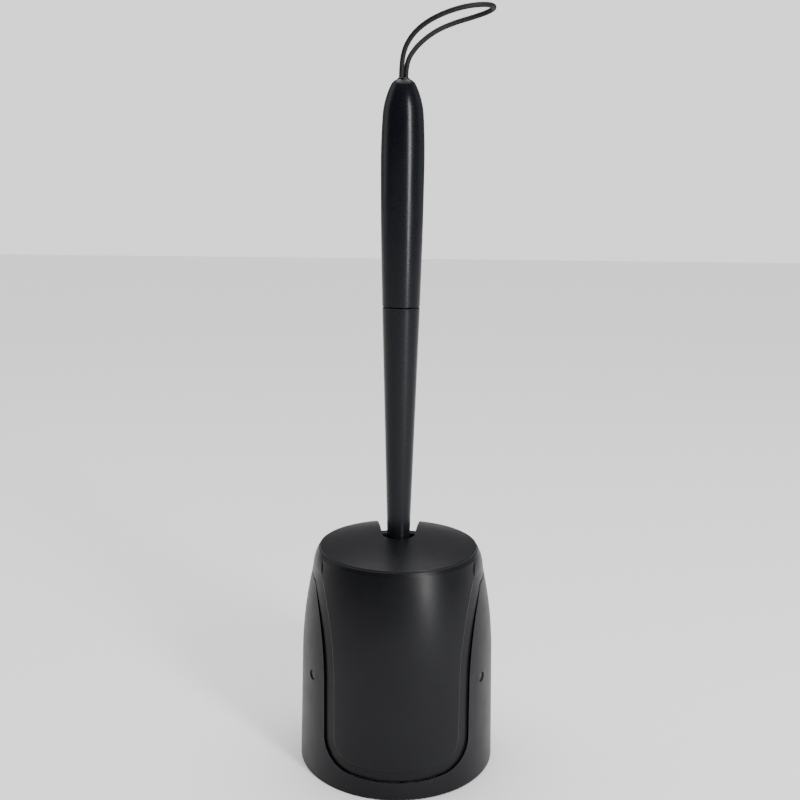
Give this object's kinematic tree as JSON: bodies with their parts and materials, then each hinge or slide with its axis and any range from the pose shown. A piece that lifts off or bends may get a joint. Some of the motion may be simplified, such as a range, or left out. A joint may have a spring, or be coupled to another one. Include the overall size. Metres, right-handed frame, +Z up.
{
  "type": "toilet brush holder",
  "caption": "Round canister with a domed lid that tips forward as its long-handled brush is lifted, with a hanging cord loop.",
  "frame": {"origin": "centre of the round base, on the floor", "axes": "+Z up along the brush's rod, -Y towards the front that the lid tips to, +X along the hinge line"},
  "size_m": [0.125, 0.125, 0.4669],
  "materials": {
    "canister_plastic": "fine satin texture, charcoal black",
    "lid_plastic": "fine satin texture, charcoal black",
    "inner_plastic": "plain moulded, black",
    "handle_plastic": "satin, slightly bluish black",
    "head_plastic": "plain moulded, black",
    "bristle_rubber": "soft matt rubber, black",
    "foot_rubber": "matt non-slip rubber",
    "cord_fibre": "tight waxed braid, black",
    "steel": "bright zinc plated",
    "pin_plastic": "smooth acetal, black"
  },
  "bodies": {
    "holder": {"outer_shell": "canister_plastic", "inner_cup": "inner_plastic", "drip_tray": "inner_plastic", "foot_pads": "foot_rubber", "hinge_pin_left": "pin_plastic", "hinge_pin_right": "pin_plastic"},
    "lid": {"lid_hood": "lid_plastic", "lid_frame": "inner_plastic", "frame_screws": "steel"},
    "brush": {"handle_grip": "handle_plastic", "handle_rod": "handle_plastic", "joint_spigot": "head_plastic", "cord_ferrule": "handle_plastic", "cord_anchor": "head_plastic", "hang_cord": "cord_fibre", "head_collar": "head_plastic", "head_stud": "steel", "head_core": "head_plastic", "bristle_sleeve": "bristle_rubber", "bristles": "bristle_rubber"}
  },
  "joints": [
    {"name": "brush_lift", "type": "slide", "parent": "holder", "child": "brush", "axis": [0, 0, 1], "range_m": [0, 0.048]},
    {"name": "lid_hinge", "type": "hinge", "parent": "holder", "child": "lid", "pos_m": [0, -0.0312, 0.066], "axis": [1, 0, 0], "range_deg": [0, 52]}
  ],
  "couplings": [
    {"joint": "lid_hinge", "follows": "brush_lift", "rad_per_m": 18.907}
  ]
}
